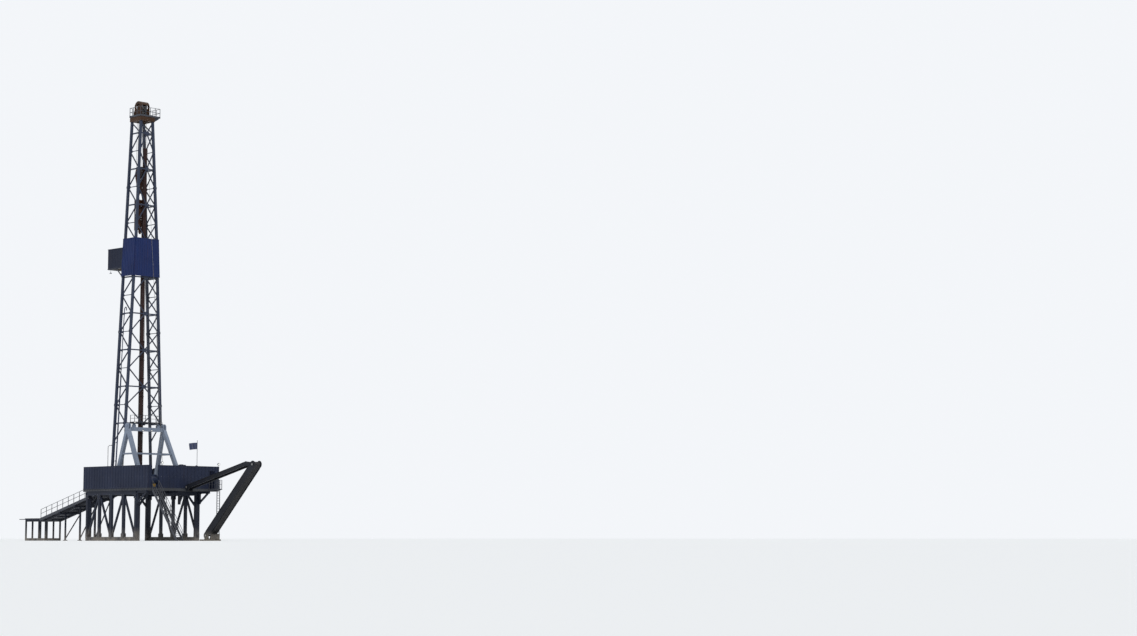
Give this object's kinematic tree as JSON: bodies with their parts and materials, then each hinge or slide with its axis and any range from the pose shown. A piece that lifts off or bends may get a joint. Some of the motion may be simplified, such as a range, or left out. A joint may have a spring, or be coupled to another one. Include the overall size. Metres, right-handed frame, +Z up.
{
  "type": "scale model of a land oil drilling rig",
  "caption": "One-tenth model of a land drilling rig: braced mast on a boxed floor, crown, racking board, travelling top drive, pipe ramp, stair and folding cable boom.",
  "frame": {"origin": "on the ground, under the centre of the rotary table", "axes": "+Z up along the well, +Y towards the pipe ramp, +X towards the doghouse; the drawworks is at -Y"},
  "size_m": [0.995, 4.18, 5.1243],
  "materials": {
    "mast_paint": "slate blue-grey gloss enamel, dusty, worn at the edges",
    "a_frame_paint": "pale blue-grey gloss enamel, dusty, worn at the edges",
    "substructure_paint": "dark blue-grey enamel, scuffed and muddy near the ground",
    "windwall_paint": "dark slate blue satin sheet, streaked",
    "doghouse_paint": "slate blue satin sheet",
    "cladding_paint": "deep blue satin sheet",
    "racking_paint": "dark slate satin sheet",
    "deck_plate": "dark checker plate, worn to steel where people walk",
    "walkway_steel": "dark grey paint on grating and rails",
    "machine_paint": "slate blue machine enamel",
    "crown_paint": "ochre enamel, greasy and rusted in places",
    "hoist_paint": "orange-brown machine enamel, greasy",
    "guide_paint": "red oxide primer, greased",
    "boom_paint": "dark grey enamel",
    "bare_steel": "bare greased steel",
    "wire_rope": "greased wire rope",
    "window_glass": "dusty glass",
    "flag_cloth": "woven cloth"
  },
  "bodies": {
    "rig": {"substructure_left": "substructure_paint", "substructure_right": "substructure_paint", "substructure_cross_frames": "substructure_paint", "floor_brackets": "substructure_paint", "floor_deck": "deck_plate", "rotary_table": "hoist_paint", "windwall_left": "windwall_paint", "windwall_front": "windwall_paint", "windwall_rear": "windwall_paint", "windwall_right": "windwall_paint", "doghouse_walls": "doghouse_paint", "doghouse_roof": "doghouse_paint", "doghouse_door": "doghouse_paint", "doghouse_window": "window_glass", "drawworks_skid": "machine_paint", "drawworks_drum": "bare_steel", "drawworks_motors": "machine_paint", "mast_side_left": "mast_paint", "mast_side_right": "mast_paint", "mast_back": "mast_paint", "mast_shoes": "mast_paint", "a_frame_left": "a_frame_paint", "a_frame_right": "a_frame_paint", "a_frame_beams": "a_frame_paint", "crown_frame": "crown_paint", "crown_sheaves": "bare_steel", "crown_guard": "crown_paint", "crown_platform": "walkway_steel", "crown_railing": "walkway_steel", "racking_board": "walkway_steel", "racking_fingers": "crown_paint", "racking_walls": "racking_paint", "mast_cladding": "cladding_paint", "mast_walkway": "walkway_steel", "guide_beam": "guide_paint", "drilling_lines": "wire_rope", "fast_line": "wire_rope", "pipe_ramp": "walkway_steel", "ramp_walkway": "walkway_steel", "ramp_railing": "walkway_steel", "ramp_trestles": "substructure_paint", "catwalk": "substructure_paint", "stair": "walkway_steel", "stair_treads": "walkway_steel", "rear_landing": "walkway_steel", "boom_upper": "boom_paint", "boom_lower": "boom_paint", "boom_base": "boom_paint", "floodlights": "machine_paint", "flagpole": "walkway_steel", "flag": "flag_cloth"},
    "hoist": {"travelling_block": "hoist_paint", "block_sheaves": "bare_steel", "top_drive": "hoist_paint", "dolly": "guide_paint"},
    "elevator_links": {"links": "bare_steel", "elevator": "hoist_paint"}
  },
  "joints": [
    {"name": "block_travel", "type": "slide", "parent": "rig", "child": "hoist", "axis": [0, 0, 1], "range_m": [-2.7, 0.45], "deforming": ["drilling_lines"]},
    {"name": "links_tilt", "type": "hinge", "parent": "hoist", "child": "elevator_links", "pos_m": [0, 0, 3.617], "axis": [1, 0, 0], "range_deg": [-3, 40]}
  ]
}
